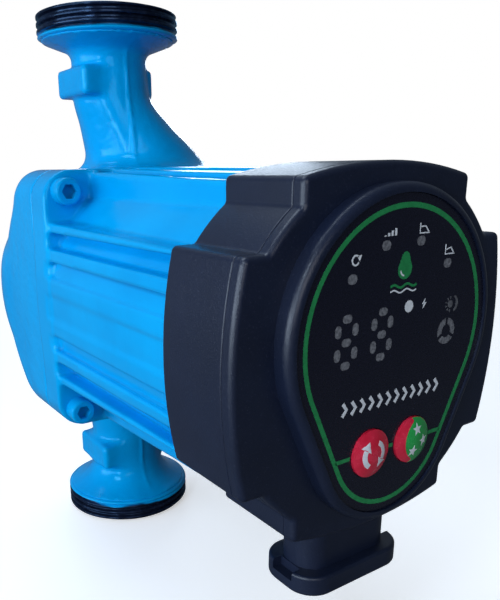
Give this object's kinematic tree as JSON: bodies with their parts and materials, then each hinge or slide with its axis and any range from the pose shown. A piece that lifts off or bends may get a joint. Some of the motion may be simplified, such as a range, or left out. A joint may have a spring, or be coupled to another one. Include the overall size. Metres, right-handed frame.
{
  "type": "circulator pump",
  "caption": "Wet-rotor heating circulator with in-line threaded ports, finned motor housing and a front control box with a teardrop key panel.",
  "frame": {"origin": "centre of the lower (inlet) port's gasket face, on the port axis", "axes": "+Z along the pipe from inlet to outlet, -Y out of the control panel along the motor axis, +X to the right when facing the panel"},
  "size_m": [0.0826, 0.1584, 0.18],
  "materials": {
    "pump_paint": "glossy enamel over cast iron",
    "motor_paint": "glossy enamel over die-cast aluminium",
    "screw_paint": "enamel",
    "stainless": "satin",
    "rubber": "matt",
    "impeller_plastic": "moulded",
    "ceramic": "ground ceramic",
    "magnet": "sintered",
    "electrical_steel": "laminated",
    "bobbin_plastic": "moulded",
    "copper": "enamelled wire",
    "zinc_steel": "zinc plated",
    "black_plastic": "fine-grained moulded plastic",
    "black_insert": "moulded",
    "brass_pins": "bright",
    "circuit_board": "solder mask",
    "capacitor_can": "sleeved can",
    "ferrite": "sintered",
    "lamp_body": "diffuser",
    "overlay_print": "satin printed film",
    "window_grey": "translucent film",
    "button_red": "satin domed film",
    "button_green": "satin domed film"
  },
  "bodies": {
    "casing": {"pump_housing": "pump_paint", "neck_ring": "stainless", "motor_housing": "motor_paint", "housing_screws": "screw_paint", "housing_gasket": "rubber", "bearing_plate": "stainless", "front_bearing": "ceramic", "rotor_can": "stainless", "can_gasket": "rubber", "rear_bearing": "ceramic", "rear_bearing_holder": "rubber", "stator_core": "electrical_steel", "stator_bobbins": "bobbin_plastic", "stator_coils": "copper", "motor_leads": "copper", "box_gasket": "rubber", "box_screws": "zinc_steel", "control_box_base": "black_plastic", "power_socket": "black_insert", "socket_pins": "brass_pins", "power_board": "circuit_board", "board_screws": "zinc_steel", "power_capacitors": "capacitor_can", "suppression_choke": "ferrite", "power_module": "black_insert", "motor_connector": "bobbin_plastic", "board_link": "black_insert", "display_board": "circuit_board", "digit_modules": "lamp_body", "status_lamps": "lamp_body", "button_switches": "black_insert", "control_box_cover": "black_plastic", "cover_seal": "rubber", "panel_overlay": "overlay_print", "indicator_windows": "window_grey"},
    "rotor": {"impeller": "impeller_plastic", "impeller_shroud": "impeller_plastic", "shaft": "ceramic", "rotor_magnet": "magnet", "rotor_sleeve": "stainless", "rotor_end_rings": "stainless", "thrust_ring": "ceramic"},
    "speed_key": {"speed_button": "button_red", "speed_plunger": "black_insert"},
    "night_key": {"night_button": "button_green", "night_plunger": "black_insert"}
  },
  "joints": [
    {"name": "rotor_spin", "type": "hinge", "parent": "casing", "child": "rotor", "pos_m": [0, -0.06, 0.09], "axis": [0, -1, 0], "continuous": true},
    {"name": "speed_press", "type": "slide", "parent": "casing", "child": "speed_key", "axis": [0, 1, 0], "range_m": [0, 0.0008], "stiffness_N_per_m": 2500},
    {"name": "night_press", "type": "slide", "parent": "casing", "child": "night_key", "axis": [0, 1, 0], "range_m": [0, 0.0008], "stiffness_N_per_m": 2500}
  ]
}
